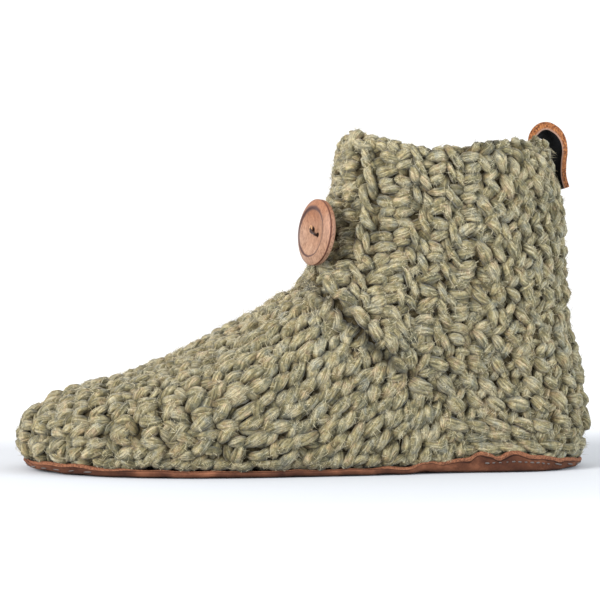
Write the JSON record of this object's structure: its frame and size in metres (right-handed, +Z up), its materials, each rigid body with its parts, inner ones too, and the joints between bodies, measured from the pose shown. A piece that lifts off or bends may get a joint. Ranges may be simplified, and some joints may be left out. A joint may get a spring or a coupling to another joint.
{
  "type": "crochet slipper",
  "caption": "Ankle-high left slipper of chunky hooked wool with a lapped flap and wooden button, on a thin stitched leather sole with a leather pull loop",
  "frame": {"origin": "on the floor under the middle of the part's length and width", "axes": "+X points to the heel and -X to the toe, -Y is the outer side of the left foot, +Z is up"},
  "size_m": [0.2658, 0.1006, 0.161],
  "materials": {
    "wool": "chunky heather wool, hooked by hand",
    "sole_leather": "soft brushed leather, reddish brown",
    "felt": "pressed wool felt",
    "wood": "turned and oiled, with burnt lines",
    "thread": "waxed sewing thread",
    "strap_leather": "vegetable tanned, raw cut edges"
  },
  "bodies": {
    "root": {"sole": "sole_leather", "insole": "felt", "upper": "wool", "button": "wood", "button_thread": "thread", "pull_loop": "strap_leather"}
  },
  "joints": []
}
